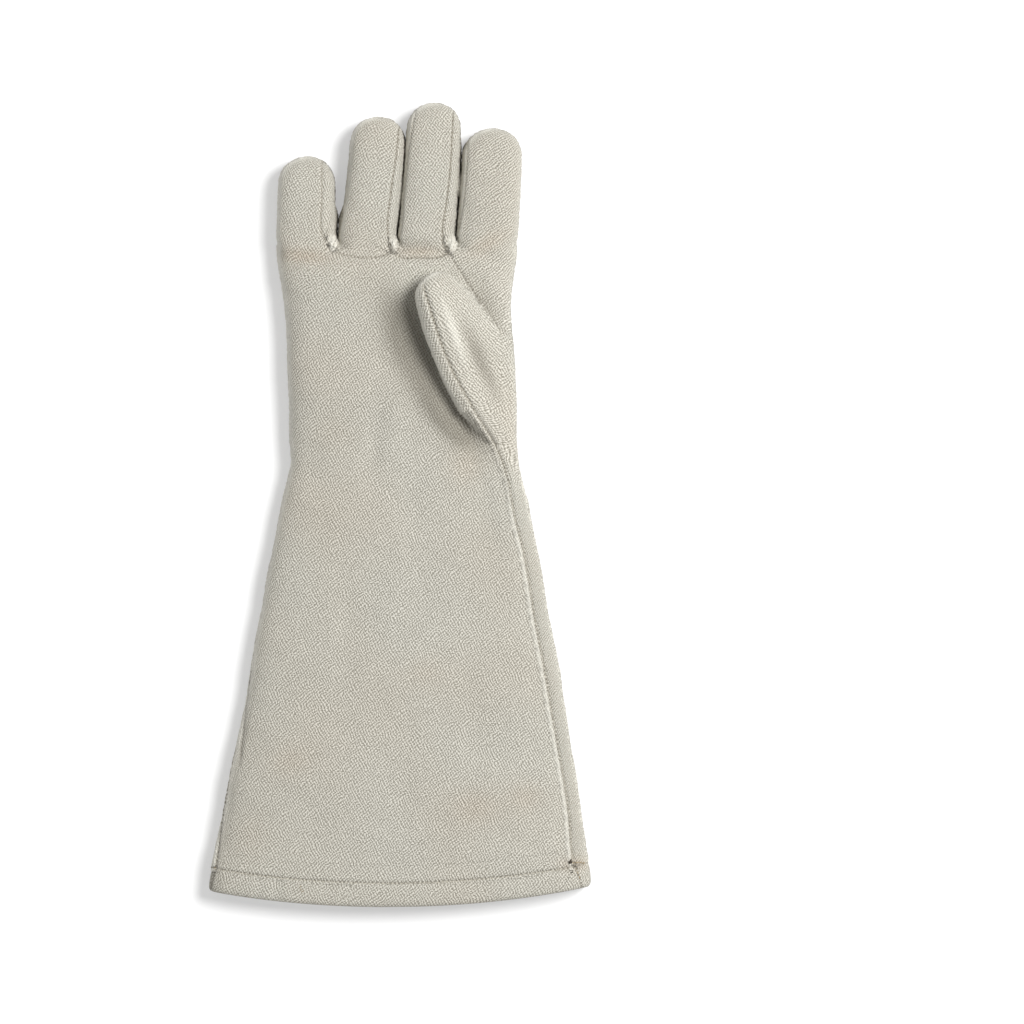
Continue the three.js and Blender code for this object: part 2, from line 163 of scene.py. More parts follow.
def body_table():
    rows = []
    for along, left, right, height in CUFF_SECTIONS:
        rows.append((
            WRIST_Y - CUFF * along,
            WRIST[0] + (-MOUTH / 2 - WRIST[0]) * left,
            WRIST[1] + (MOUTH / 2 - WRIST[1]) * right,
            WRIST_HEIGHT + (MOUTH_HEIGHT - WRIST_HEIGHT) * height,
            0.48,
        ))
    for along, spread, waist, height in HAND_SECTIONS:
        top = PALM_HEIGHT * height
        rows.append((
            WRIST_Y + HAND * along,
            WRIST[0] + (KNUCKLES[0] - WRIST[0]) * spread,
            WRIST[1] + (KNUCKLES[1] - WRIST[1]) * spread - WAIST * waist,
            WRIST_HEIGHT + (top - WRIST_HEIGHT) * min(1, along * 4),
            0.46,
        ))
    return np.array(rows).T


BODY = body_table()


def resting_ring(left, right, top, round_, turn, inset, surface, close=1.0):
    """Points of a soft tube that lies on the surface: x and z at each turn."""
    middle = (left + right) / 2
    half = (right - left) / 2 - inset
    across = np.sign(np.cos(turn)) * np.abs(np.cos(turn)) ** round_
    up = np.abs(np.sin(turn)) ** round_ * close
    upper = SIDE_SEAM + (top - inset - SIDE_SEAM) * up
    lower = np.maximum(surface, SIDE_SEAM - (SIDE_SEAM - inset) * 1.25 * up)
    return middle + half * across, np.where(np.sin(turn) > 0, upper, lower)


def body_point(y, turn, inset=0.0, surface=None):
    left, right, top, round_ = (smooth(BODY[0], BODY[i], y) for i in range(1, 5))
    x, z = resting_ring(left, right, top, round_, turn, inset, inset if surface is None else surface)
    return np.stack(np.broadcast_arrays(x, y, z), axis=-1)


def body_edge(y, side):
    return smooth(BODY[0], BODY[1 + side], y)


def turns(count):
    return 2 * np.pi * (np.arange(count) + 0.5) / count


def body_rings(inset):
    y = np.linspace(BODY[0][0], BODY[0][-1] - inset, 110)
    return body_point(y[:, None], turns(120)[None, :], inset)


def finger_middle(name, y):
    width, length, lean, base = FINGERS[name]
    share = np.clip((y - CROTCH_Y) / length, 0, 1)
    return base + lean * (1 - (1 - share) ** 1.6)


def finger_half(name, y):
    width, length, lean, base = FINGERS[name]
    return width / 2 * (1 - FINGER_TAPER * np.clip((y - CROTCH_Y) / length, 0, 1))


def finger_rings(name, inset, apart=0.0):
    width, length, lean, base = FINGERS[name]
    root = CROTCH_Y - 0.55 * width
    tip = CROTCH_Y + length
    radius = finger_half(name, tip)
    shoulder = tip - radius
    rows = [(root, 0.8, FINGER_HEIGHT * 0.86), (CROTCH_Y - 2, 0.975, FINGER_HEIGHT)]
    rows += [(y, 1.0, FINGER_HEIGHT) for y in np.linspace(CROTCH_Y + 4, shoulder, 12)]
    for angle in np.radians(np.linspace(8, 86, 14)):
        rows.append((shoulder + (radius - inset - apart) * math.sin(angle), math.cos(angle), FINGER_HEIGHT))
    rings = []
    for y, close, top in rows:
        middle = finger_middle(name, y)
        half = (finger_half(name, y) - inset - apart) * close + inset
        x, z = resting_ring(middle - half, middle + half, top, 0.5, turns(64), inset, inset,
                            math.sqrt(close) if y > shoulder else 1)
        rings.append(np.stack([x, np.full_like(x, y), z], axis=-1))
    return np.array(rings)


def tab_rings(x, y, top, inset):
    """The small folded end of the cloth between two fingers."""
    rings = []
    for angle in np.radians(np.linspace(-85, 85, 11)):
        reach = math.cos(angle)
        turn = turns(24)
        rings.append(np.stack([
            x + (2.9 - inset) * reach * np.cos(turn),
            np.full(24, y + (4.6 - inset) * math.sin(angle)),
            11 + (top - 11 - inset) * reach * np.sin(turn),
        ], axis=-1))
    return np.array(rings)


def thumb_table(along):
    """The thumb's edges, middle height, half thickness and slope at shares of its length."""
    table = np.array(THUMB_SECTIONS).T
    left, right, rise, thick, tilt = (smooth(table[0], row, along) for row in table[1:])
    slope = np.tan(np.radians(THUMB_TILT * tilt))
    return left * THUMB_WIDTH, right * THUMB_WIDTH, rise * THUMB_RISE, thick * THUMB_THICKNESS / 2, slope


def thumb_place(along, beside):
    ahead = THUMB_LENGTH * (1 - along)
    x = THUMB_ROOT[0] - math.sin(THUMB_LEAN) * ahead + math.cos(THUMB_LEAN) * beside
    y = THUMB_ROOT[1] + math.cos(THUMB_LEAN) * ahead + math.sin(THUMB_LEAN) * beside
    return x, y


def thumb_share(x, y):
    """The share along the thumb and the distance beside its axis of places in plan."""
    dx, dy = x - THUMB_ROOT[0], y - THUMB_ROOT[1]
    ahead = -math.sin(THUMB_LEAN) * dx + math.cos(THUMB_LEAN) * dy
    beside = math.cos(THUMB_LEAN) * dx + math.sin(THUMB_LEAN) * dy
    return 1 - ahead / THUMB_LENGTH, beside


def thumb_rings(inset):
    along = np.concatenate([np.linspace(0.004, 0.1, 12), np.linspace(0.12, 1, 40)])
    left, right, height, thick, slope = thumb_table(along)
    along = np.maximum(along, 0.004 + inset / THUMB_LENGTH)
    turn = turns(64)
    wide = np.sign(np.cos(turn)) * np.abs(np.cos(turn)) ** 0.9
    high = np.sign(np.sin(turn)) * np.abs(np.sin(turn)) ** 0.9
    beside = np.maximum((right - left) / 2 - inset, 0.6)[:, None] * wide
    up = np.maximum(thick - inset, 0.5)[:, None] * high
    x, y = thumb_place(along[:, None], ((left + right) / 2)[:, None] + beside)
    return np.stack([x, y, height[:, None] - beside * slope[:, None] + up], axis=-1)[::-1]


def mesh_of(name, points, faces):
    mesh = bpy.data.meshes.new(name)
    mesh.from_pydata((points * MM).tolist(), [], faces)
    mesh.update()
    return mesh


def closed_loft(rings):
    count, sides = rings.shape[:2]
    row = np.arange(count - 1)[:, None] * sides
    a = np.arange(sides)[None, :]
    b = (a + 1) % sides
    quads = np.stack([row + a, row + a + sides, row + b + sides, row + b], axis=-1).reshape(-1, 4)
    first = list(range(sides))
    last = [(count - 1) * sides + i for i in reversed(range(sides))]
    return rings.reshape(-1, 3), quads.tolist() + [first, last]


def joined_form(lofts, voxel, softening):
    """One closed skin round all the lofts, as points and four-sided faces."""
    points, faces, start = [], [], 0
    for rings in lofts:
        p, f = closed_loft(rings)
        points.append(p)
        faces += [[start + i for i in face] for face in f]
        start += len(p)
    form = bpy.data.objects.new("form", mesh_of("form", np.concatenate(points), faces))
    bpy.context.collection.objects.link(form)
    remesh = form.modifiers.new("skin", "REMESH")
    remesh.mode = "VOXEL"
    remesh.voxel_size = voxel * MM
    soften = form.modifiers.new("soften", "SMOOTH")
    soften.factor = 0.5
    soften.iterations = softening
    done = form.evaluated_get(bpy.context.evaluated_depsgraph_get()).to_mesh()
    p = np.empty(len(done.vertices) * 3)
    done.vertices.foreach_get("co", p)
    f = np.empty(len(done.loops), dtype=np.int64)
    done.loops.foreach_get("vertex_index", f)
    form.evaluated_get(bpy.context.evaluated_depsgraph_get()).to_mesh_clear()
    mesh = form.data
    bpy.data.objects.remove(form)
    bpy.data.meshes.remove(mesh)
    return p.reshape(-1, 3) / MM, f.reshape(-1, 4)


def ramp(value, low, high):
    """0 below low, 1 above high and a soft step between."""
    t = np.clip((value - low) / (high - low), 0, 1)
    return t * t * (3 - 2 * t)


def normals_of(p, f):
    across = np.cross(p[f[:, 2]] - p[f[:, 0]], p[f[:, 3]] - p[f[:, 1]])
    total = np.zeros_like(p)
    for i in range(4):
        np.add.at(total, f[:, i], across)
    return total / np.maximum(np.linalg.norm(total, axis=1, keepdims=True), 1e-12)


def softened(values, f, passes):
    """Each point's value blended with its neighbours'."""
    ends = np.concatenate([f[:, [0, 1]], f[:, [1, 2]], f[:, [2, 3]], f[:, [3, 0]]])
    count = np.bincount(ends[:, 0], minlength=len(values))
    for _ in range(passes):
        total = [np.bincount(ends[:, 0], weights=values[ends[:, 1], i], minlength=len(values)) for i in range(3)]
        values = 0.5 * values + 0.5 * np.stack(total, axis=1) / count[:, None]
    return values


def beside_line(xy, line):
    """Distance to a seam in plan, the length along it, and the side: positive to its right."""
    line = np.array(line, float)
    best = np.full(len(xy), 1e9)
    along = np.zeros(len(xy))
    side = np.zeros(len(xy))
    start = 0.0
    for a, b in zip(line[:-1], line[1:]):
        step = b - a
        length = math.hypot(*step)
        t = np.clip(((xy - a) @ step) / length**2, 0, 1)
        away = xy - a - t[:, None] * step
        d = np.hypot(away[:, 0], away[:, 1])
        near = d < best
        best[near] = d[near]
        along[near] = start + t[near] * length
        side[near] = (away @ np.array([step[1], -step[0]]))[near]
        start += length
    return best, along, np.sign(side)


def soft_line(points, step=2.0):
    """The same seam with its corners rounded."""
    points = np.array(points, float)
    s = np.concatenate([[0], np.cumsum(np.hypot(*np.diff(points, axis=0).T))])
    fine = np.linspace(0, s[-1], max(8, int(s[-1] / step)))
    return np.stack([smooth(s, points[:, 0], fine), smooth(s, points[:, 1], fine)], axis=1)


def inside(xy, outline):
    outline = np.array(outline, float)
    result = np.zeros(len(xy), bool)
    x, y = xy[:, 0], xy[:, 1]
    for (x0, y0), (x1, y1) in zip(outline, np.roll(outline, -1, axis=0)):
        if y0 == y1:
            continue
        crosses = ((y0 > y) != (y1 > y)) & (x < (x1 - x0) * (y - y0) / (y1 - y0) + x0)
        result ^= crosses
    return result


def waves(p, size, seed, count=14):
    """Soft irregular waves about size millimetres long, between about -1 and 1."""
    rng = np.random.default_rng(seed)
    total = np.zeros(len(p))
    for _ in range(count):
        d = rng.normal(size=3)
        d /= np.linalg.norm(d)
        total += np.sin(p @ d * (2 * np.pi / (size * rng.uniform(0.7, 1.5))) + rng.uniform(0, 6.3))
    return total / math.sqrt(count)


def hem_line(x, height):
    share = x / (MOUTH / 2)
    return HEM_Y + height + HEM_BOW * share**2 + HEM_TILT * share / 2


seams = {name: soft_line(points) for name, points in SEAMS.items()}
for name, x, y in (("little_ring_tab", -37.5, 148.0), ("ring_middle_tab", -3.0, 147.2), ("middle_index_tab", 30.4, 147.2)):
    seams[name] = soft_line([(x - 2.9, y + 4.5), (x - 3.1, y - 1), (x, y - 5), (x + 3.1, y - 1), (x + 2.9, y + 4.5)], 1)
hem_x = np.linspace(-118, 118, 120)
seams["hem_line"] = np.stack([hem_x, hem_line(hem_x, HEM_DEPTH + 0.9)], axis=1)
for name in ("little_right", "ring_left", "ring_right", "middle_left", "middle_right", "index_left"):
    beyond = seams[name][0] + (seams[name][0] - seams[name][4]) * np.array([[3], [2], [1]])
    seams[name] = np.concatenate([beyond, seams[name]])
thumb_along = np.linspace(0.03, THUMB_PIECE_END, 30)
left, right = thumb_table(thumb_along)[:2]
seam_beside = left + np.minimum(THUMB_SEAM_INSET, 0.25 * (right - left))
seams["thumb_front"] = np.stack(thumb_place(thumb_along, seam_beside), axis=1)


def thumb_parts(p, margin=0.6, end=THUMB_PIECE_END):
    """Which points lie on the thumb's own pieces, and which of those outside its seam."""
    along, beside = thumb_share(p[:, 0], p[:, 1])
    left, right, height, thick, slope = thumb_table(np.clip(along, 0.004, 1))
    half = (right - left) / 2
    off = beside - (left + right) / 2
    middle = height - off * slope
    body_top = np.interp(p[:, 1], BODY[0], BODY[3])
    across = (p[:, 0] - (body_edge(p[:, 1], 0) + body_edge(p[:, 1], 1)) / 2) / (
        (body_edge(p[:, 1], 1) - body_edge(p[:, 1], 0)) / 2)
    crown = np.maximum(0, 1 - np.abs(across) ** (2 / 0.46)) ** 0.23
    hand_top = SIDE_SEAM + (body_top - SIDE_SEAM) * crown
    on = (along > -0.03) & (along < end) & (np.abs(off) < half + 1.5)
    on &= (np.abs(p[:, 2] - middle) < thick + 2.5) & (p[:, 2] > hand_top + margin)
    inset = np.minimum(THUMB_SEAM_INSET, 0.25 * (right - left))
    share = 1 - inset / half
    seam_z = height + half * share * slope + thick * np.sqrt(np.maximum(0, 1 - share**2))
    edge_z = height - half * slope
    line = seam_z + (edge_z - seam_z) * (beside - left - inset) / (2 * half - inset)
    return on, on & (p[:, 2] > line)


FAR = 400
LITTLE_TOP = 45


def between(a, b):
    """The plan outline between two seams that run down from the fingertips and meet below."""
    a, b = seams[a], seams[b]
    return [(a[0][0], FAR), *a, *b[::-1], (b[0][0], FAR)]


OUTLINES = {
    "little_ring_fourchette": between("little_right", "ring_left"),
    "ring_middle_fourchette": between("ring_right", "middle_left"),
    "middle_index_fourchette": between("middle_right", "index_left"),
    "ring_finger_front": [(seams["ring_left"][0][0], FAR), *seams["ring_left"], *seams["ring_base"],
                          *seams["ring_right"][::-1], (seams["ring_right"][0][0], FAR)],
    "middle_finger_front": [(seams["middle_left"][0][0], FAR), *seams["middle_left"],
                            *seams["middle_base"], *seams["middle_right"][::-1],
                            (seams["middle_right"][0][0], FAR)],
    "index_finger_front": [(seams["index_left"][0][0], FAR), *seams["index_left"],
                           *seams["index_base"], (FAR, 97), (FAR, FAR)],
}
thumb_strip = [*seams["thumb_front"][-12:], *seams["thumb_side"], (99.9, -FAR), (FAR, -FAR), (FAR, 92), (58, 92)]
little_strip = [*seams["little_side"][LITTLE_TOP:], (-104, -FAR), (-FAR, -FAR),
                (-FAR, seams["little_side"][LITTLE_TOP][1])]


def side_line(p):
    """The height of the seam along the glove's side, which climbs to the top near the cuff's end."""
    return np.where(p[:, 0] < 0, np.interp(p[:, 1], [-150, -48], [19.5, SIDE_SEAM]), SIDE_SEAM)


def pieces_of(p):
    """The name of the cloth piece that each point belongs to."""
    names = np.full(len(p), "palm_panel", dtype="<U24")
    xy = p[:, :2]
    for name, outline in OUTLINES.items():
        names[inside(xy, outline)] = name
    back = (p[:, 2] < side_line(p)) | inside(xy, thumb_strip) | inside(xy, little_strip)
    names[back] = "back_panel"
    thumb, outer = thumb_parts(p)
    names[thumb] = "thumb_inner"
    names[outer] = "thumb_outer"
    return names


# The fingers are kept apart while the skin is made, and swelled to their width after it.
APART = 1.25
TABS = [(-37.5, 148.0, 22.4), (-3.0, 147.2, 22.6), (30.4, 147.2, 22.6)]
outer_p, outer_f = joined_form(
    [body_rings(0), thumb_rings(0)] + [finger_rings(name, 0, APART) for name in FINGERS]
    + [tab_rings(*tab, 0) for tab in TABS], 1.15, 5)
inner_p, inner_f = joined_form(
    [body_rings(CLOTH), thumb_rings(CLOTH)] + [finger_rings(name, CLOTH) for name in FINGERS], 3, 2)
normal = normals_of(outer_p, outer_f)
swell = ramp(outer_p[:, 1], CROTCH_Y - 2, CROTCH_Y + 6) * APART
outer_p[:, 0] += swell * np.sign(normal[:, 0]) * ramp(np.abs(normal[:, 0]), 0.1, 0.75)
outer_p[:, 1] += ramp(outer_p[:, 1], CROTCH_Y + 14, CROTCH_Y + 28) * APART * np.maximum(normal[:, 1], 0)
for left_name, right_name, open_from in (("little", "ring", 163), ("ring", "middle", 211), ("middle", "index", 202)):
    y = outer_p[:, 1]
    left_wall = finger_middle(left_name, y) + finger_half(left_name, y)
    right_wall = finger_middle(right_name, y) - finger_half(right_name, y)
    low = (1 - ramp(outer_p[:, 2], 8, 18)) * ramp(y, CROTCH_Y, CROTCH_Y + 5) * (1 - ramp(y, open_from, open_from + 9))
    room = np.maximum((right_wall - left_wall) / 2 - 0.12, 0)
    side = np.sign((left_wall + right_wall) / 2 - outer_p[:, 0])
    wall = (np.abs(outer_p[:, 0] - (left_wall + right_wall) / 2) < 3) & (normal[:, 0] * side > 0.15)
    outer_p[wall, 0] += (side * low * room)[wall]
normal = normals_of(outer_p, outer_f)

# Soft folds and dents of the laid cloth: middle, size across and along, turn in degrees and depth.
FOLDS = [
    (-14, 34, 5.5, 22, -6, 0.8),
    (-4, 40, 6.5, 24, -8, -0.5),
    (52, -8, 7, 40, 8, 1.3),
    (50, 113, 5.5, 24, 37, 2.6),
    (36, 43.5, 5, 20, 37, 3.4),
    (24, 52, 7, 20, 37, -0.5),
    (40, 20, 5, 12, -25, 0.7),
    (22, 20, 5, 18, -30, -0.4),
    (44, 22, 4, 20, 20, 0.5),
    (-48, 20, 7, 24, 12, 0.5),
    (-60, 118, 4, 14, 62, 0.5),
    (56, 146, 4.5, 15, -62, 0.55),
    (10, -30, 9, 40, 8, 0.45),
    (-30, -90, 12, 50, -10, 0.4),
    (40, -110, 10, 45, 6, 0.45),
    (0, -190, 9, 40, 80, -0.5),
]



# Folds on the thumb itself: the crest stands up and the cloth sinks beside it.
THUMB_FOLDS = [(32, 95, 4.5, 28, 20, -1.5), (47, 85, 6, 24, 26, 1.5)]


def fold_depth(p, folds=FOLDS):
    """How far the folds press the cloth in at each point."""
    depths = np.zeros(len(p))
    for x, y, across, along, turn, depth in folds:
        c, s = math.cos(math.radians(turn)), math.sin(math.radians(turn))
        dx, dy = p[:, 0] - x, p[:, 1] - y
        depths += depth * np.exp(-(((c * dx + s * dy) / across) ** 2) - (((c * dy - s * dx) / along) ** 2))
    return depths


# The sewn seams press into the cloth, and the turned edges beside them stand up: the depth of
# the groove, the height of the ridges on its thumb side and its little finger's side, and how
# dark the line between them is.
SEAM_SHAPES = {
    "little_right": (0.5, 0.15, 0.3, 0.6), "ring_left": (0.4, 0.25, 0.15, 0.5),
    "ring_right": (0.6, 0.15, 0.45, 1.0), "middle_left": (0.25, 0.2, 0.05, 0.2),
    "middle_right": (0.65, 0.15, 0.5, 1.0), "index_left": (0.25, 0.2, 0.05, 0.2),
    "ring_base": (0.4, 0.1, 0.35, 0.6), "middle_base": (0.6, 0.1, 0.45, 0.8),
    "index_base": (0.5, 0.2, 0.2, 0.5), "little_side": (0.55, 0.25, 0.3, 0.8),
    "thumb_side": (0.9, 0.5, 1.25, 0.55), "thumb_front": (1.0, 0.6, 0.6, 0.9),
    "hem_line": (0.5, 0.1, 0.25, 0.5), "little_ring_tab": (0.35, 0.1, 0.1, 0.45),
    "ring_middle_tab": (0.35, 0.1, 0.1, 0.45), "middle_index_tab": (0.35, 0.1, 0.1, 0.45),
}

on_thumb = thumb_parts(outer_p)[0]
upward = ramp(normal[:, 2], 0.0, 0.45)
nearest = np.full(len(outer_p), 30.0)
along_seam = np.zeros(len(outer_p))
shown = np.zeros(len(outer_p))
lift = np.zeros(len(outer_p))
for name, line in seams.items():
    groove, thumbward, outward, dark = SEAM_SHAPES[name]
    d, s, side = beside_line(outer_p[:, :2], line)
    d = d / np.clip(normal[:, 2], 0.55, 1)
    use = (outer_p[:, 2] > SIDE_SEAM - 2) & (normal[:, 2] > 0) & (d < 10)
    use &= on_thumb == (name == "thumb_front")
    pucker = 1 + 0.35 * np.sin(2 * np.pi * s / 6.1 + 2 * len(name)) + 0.25 * np.sin(2 * np.pi * s / 9.7)
    ridge = np.where(side < 0, thumbward, outward) * pucker
    shape = ridge * np.exp(-(((d - 1.8) / 1.0) ** 2)) - groove * np.exp(-((d / 0.85) ** 2))
    fade = ramp(s, -2, 8)
    if name == "index_base":
        fade = 1 - 0.8 * ramp(s, 24, 42)
    if name == "little_side":
        fade = ramp(s, 80, 94)
    shape = shape * fade
    lift[use] += (shape * upward)[use]
    near = use & (d < np.abs(nearest))
    nearest[near] = (d * np.where(side < 0, -1, 1))[near]
    along_seam[near] = s[near]
    shown[near] = (dark * fade)[near]
below = outer_p[:, 2] - side_line(outer_p)
walls = (np.abs(normal[:, 2]) < 0.9) & (np.abs(below) < 6) & ~on_thumb
walls &= (outer_p[:, 1] > 97) | ((outer_p[:, 0] < 0) & (outer_p[:, 1] > -150))
lift[walls] -= (0.45 * np.exp(-((below / 0.9) ** 2)))[walls]
closer = walls & (np.abs(below) < np.abs(nearest))
nearest[closer] = below[closer]
along_seam[closer] = (outer_p[:, 1] + outer_p[:, 0])[closer]
shown[closer] = 0.5
lift -= np.where(on_thumb, fold_depth(outer_p, THUMB_FOLDS), fold_depth(outer_p)) * upward
facing = ramp(outer_p[:, 1], CROTCH_Y - 8, CROTCH_Y) * ramp(np.abs(normal[:, 0]), 0.3, 0.8)
lumps = 0.3 * waves(outer_p, 55, 3) + 0.13 * waves(outer_p, 17, 5) + 0.05 * waves(outer_p, 7, 6)
lift += lumps * (1 - 0.9 * facing)
moved = outer_p + normal * lift[:, None]
moved[outer_p[:, 2] < 0.6, 2] = 0
moved[:, 2] = np.maximum(moved[:, 2], 0)
outer_normal = normals_of(moved, outer_f)
# The threads that stick out make the outline a little rough.
rough = np.random.default_rng(12).uniform(-1, 1, len(moved)) * 0.42 * (1 - ramp(np.abs(normal[:, 2]), 0.35, 0.8))
moved[:, :2] += normal[:, :2] * (rough * ramp(outer_p[:, 2], 1, 4))[:, None]

# Faint brownish patches in the cloth: middle, half sizes, turn in degrees and strength.
PATCHES = [
    (-54, 141, 14, 4.5, -6, 0.85), (12, 143.5, 14, 3.5, 0, 0.8), (50, 148, 12, 5, 30, 0.6),
    (38, 22, 10, 12, 0, 0.45), (-62, -146, 11, 9, 20, 0.45), (14, -96, 12, 9, 0, 0.3),
    (44, -172, 14, 10, 0, 0.5), (72, -166, 10, 8, 0, 0.45), (-40, 40, 14, 10, 0, 0.25),
    (-84, -190, 10, 16, 0, 0.3), (28, 160, 8, 8, 0, 0.2), (100, -204, 8, 4, 0, 0.8),
]


def tint_at(p):
    """How brownish the cloth is at each point, from 0 to 1."""
    tint = 0.12 + 0.12 * waves(p, 60, 21)
    for x, y, across, along, turn, strength in PATCHES:
        c, s = math.cos(math.radians(turn)), math.sin(math.radians(turn))
        dx, dy = p[:, 0] - x, p[:, 1] - y
        tint += strength * np.exp(-(((c * dx + s * dy) / across) ** 2) - (((c * dy - s * dx) / along) ** 2))
    return np.clip(tint, 0, 1)


soft_normal = softened(normal, outer_f, 14)
# Painted light: the cloth is painted paler where its surface turns down towards the sides, most on the left-facing
# sides, which the key light leaves in shade.
painted_shading = 1.2 * (1 - ramp(soft_normal[:, 2], 0.2, 0.98)) * ramp(outer_p[:, 2], 3, 9)
painted_shading *= 0.3 + 0.7 * ramp(-soft_normal[:, 0], -0.3, 0.3)
# Painted shadow and shade: the thumb's cast shadow in its crook, and the shade in the valley beside the index seam, in
# the creases along the finger bases and down the cuff's thumb side, are painted darker, and the tabs between the
# fingers are painted paler: middle, half sizes, turn in degrees and how much darker or paler.
HAND_PAINTED_SHADING = [
    (7.5, 88, 13.5, 36, 25, 1.0), (30, 48, 8.5, 20, 37, 1.3), (50, 112, 5, 24, 37, 0.5),
    (12, 147, 13, 4.5, 0, 0.4), (-54, 141.5, 14, 4, -6, 0.25), (50, 149, 10, 4, 30, 0.17),
    (49, -12, 8, 45, 9, 0.24), (1, 103, 7, 15, 12, 0.35),
    (-37.5, 148, 2.6, 4.5, 0, -0.9), (-3, 147.2, 2.6, 4.5, 0, -0.9), (30.4, 147.2, 2.6, 4.5, 0, -0.9),
]
# Painted highlight and shade on the thumb: a pale band along its crest, a darker band beside it, and the thumb as a
# whole a little darker.
THUMB_PAINTED_SHADING = [
    (32, 95, 3.6, 25, 20, -0.7), (48, 80, 5, 27, 25, 0.6), (40, 84, 15, 32, 28, 0.2),
]
raised = thumb_parts(outer_p, end=0.96)[0]
painted_shading -= np.where(raised, fold_depth(outer_p, THUMB_PAINTED_SHADING), fold_depth(outer_p, HAND_PAINTED_SHADING))
# Painted highlight and shade: the ridge beside the cuff's thumb-side seam is painted pale, and the strip beyond it is
# painted darker.
d, s, side = beside_line(outer_p[:, :2], seams["thumb_side"])
down_cuff = upward * ramp(s, 45, 75) * ~on_thumb
painted_shading += np.where(side > 0, 0.6 * np.exp(-(((d - 2.2) / 1.1) ** 2)),
                 -0.3 * np.exp(-(((d - 2.8) / 1.7) ** 2))) * down_cuff
# Painted shade: the facing walls of the fingers are painted dark low down, where they touch and the gaps between them
# lie in shade.
painted_shading -= 1.3 * facing * (1 - ramp(outer_p[:, 2], 11, 17)) * (np.abs(outer_p[:, 0] - 4) < 50)
outer_middles = outer_p[outer_f].mean(axis=1)
inner_middles = inner_p[inner_f].mean(axis=1)
outer_names = pieces_of(outer_middles)
inner_names = pieces_of(inner_middles)
outer_names[outer_middles[:, 1] < hem_line(outer_middles[:, 0], HEM_DEPTH - 1)] = ""
inner_names[inner_middles[:, 1] < hem_line(inner_middles[:, 0], HEM_DEPTH - 1)] = ""
inner_normal = -normals_of(inner_p, inner_f)
inner_off = thumb_parts(inner_p)[0] | (inner_normal[:, 2] > -0.3)
inner_p[:, 2] -= fold_depth(inner_p) * ~inner_off

# How far each piece's weave is turned, in radians, and how much its steep lines show.
WEAVE = {
    "back_panel": (0.0, 0.52), "palm_panel": (0.0, 0.52), "ring_finger_front": (0.0, 0.42),
    "middle_finger_front": (-0.25, 0.5), "index_finger_front": (0.05, 0.25),
    "little_ring_fourchette": (0.0, 0.7), "ring_middle_fourchette": (0.1, 0.7),
    "middle_index_fourchette": (0.1, 0.7), "thumb_outer": (-0.35, 0.8), "thumb_inner": (0.6, 0.6),
    "cuff_hem": (0.2, 0.5),
}


def unrolled(p, n, name):
    """Cloth coordinates in millimetres, as if the piece were laid flat."""
    level = 23.0
    if name.startswith("thumb"):
        share = np.clip(thumb_share(p[:, 0], p[:, 1])[0], 0.004, 1)
        height, thick = thumb_table(share)[2:4]
        level = height + thick + 2
    drop = p[:, 2] if name == "back_panel" else level - p[:, 2]
    drop = np.clip(drop, 0, 23) * (0.4 if name.startswith("thumb") else 0.8)
    if not name.startswith("thumb"):
        share, beside = thumb_share(p[:, 0], p[:, 1])
        near_root = ramp(share, 0.1, 0.4) * (1 - ramp(share, 1.05, 1.4)) * ramp(beside, -5, 6)
        drop = drop * (1 - near_root * ramp(p[:, 2], 10, 15))
    u = p[:, 0] + n[:, 0] * drop
    v = p[:, 1] + n[:, 1] * drop
    c, s = math.cos(WEAVE[name][0]), math.sin(WEAVE[name][0])
    size = 0.9 if name.startswith("thumb") else 1.0
    return np.stack([c * u - s * v, s * u + c * v, np.zeros(len(p))], axis=1) * size


def set_attribute(mesh, name, values):
    attribute = mesh.attributes.new(name, "FLOAT_VECTOR", "POINT")
    attribute.data.foreach_set("vector", np.ascontiguousarray(values, dtype=np.float32).ravel())


def cloth_piece(name, skins, material):
    """An object from skins of (points, faces, normals, cloth places, seam places, marks)."""
    points, faces, normals, places, sewn, marks, start = [], [], [], [], [], [], 0
    for p, f, n, cloth, seam, mark in skins:
        used, index = np.unique(f, return_inverse=True)
        points.append(p[used])
        faces.append(index.reshape(f.shape) + start)
        normals.append(n[used])
        places.append(cloth[used])
        sewn.append(seam[used])
        marks.append(mark[used])
        start += len(used)
    points = np.concatenate(points)
    points = points + np.array([SHIFT_X, 0, 0])
    mesh = mesh_of(name, points, np.concatenate(faces).tolist())
    set_attribute(mesh, "cloth", np.concatenate(places))
    set_attribute(mesh, "sewn", np.concatenate(sewn))
    set_attribute(mesh, "marks", np.concatenate(marks))
    mesh.shade_smooth()
    mesh.normals_split_custom_set_from_vertices(np.concatenate(normals).tolist())
    piece = bpy.data.objects.new(name, mesh)
    bpy.context.collection.objects.link(piece)
    piece.data.materials.append(material)
    return piece


class Number:
    """A number in a shader: Python arithmetic on it adds Math nodes."""

    def __init__(self, shade, socket):
        self.shade = shade
        self.socket = socket

    def __add__(self, other):
        return self.shade.maths("ADD", self, other)

    def __radd__(self, other):
        return self.shade.maths("ADD", other, self)

    def __sub__(self, other):
        return self.shade.maths("SUBTRACT", self, other)

    def __rsub__(self, other):
        return self.shade.maths("SUBTRACT", other, self)

    def __mul__(self, other):
        return self.shade.maths("MULTIPLY", self, other)

    def __rmul__(self, other):
        return self.shade.maths("MULTIPLY", other, self)

    def __truediv__(self, other):
        return self.shade.maths("DIVIDE", self, other)

    def __pow__(self, other):
        return self.shade.maths("POWER", self, other)

    def __abs__(self):
        return self.shade.maths("ABSOLUTE", self)

    def __neg__(self):
        return self.shade.maths("MULTIPLY", self, -1.0)


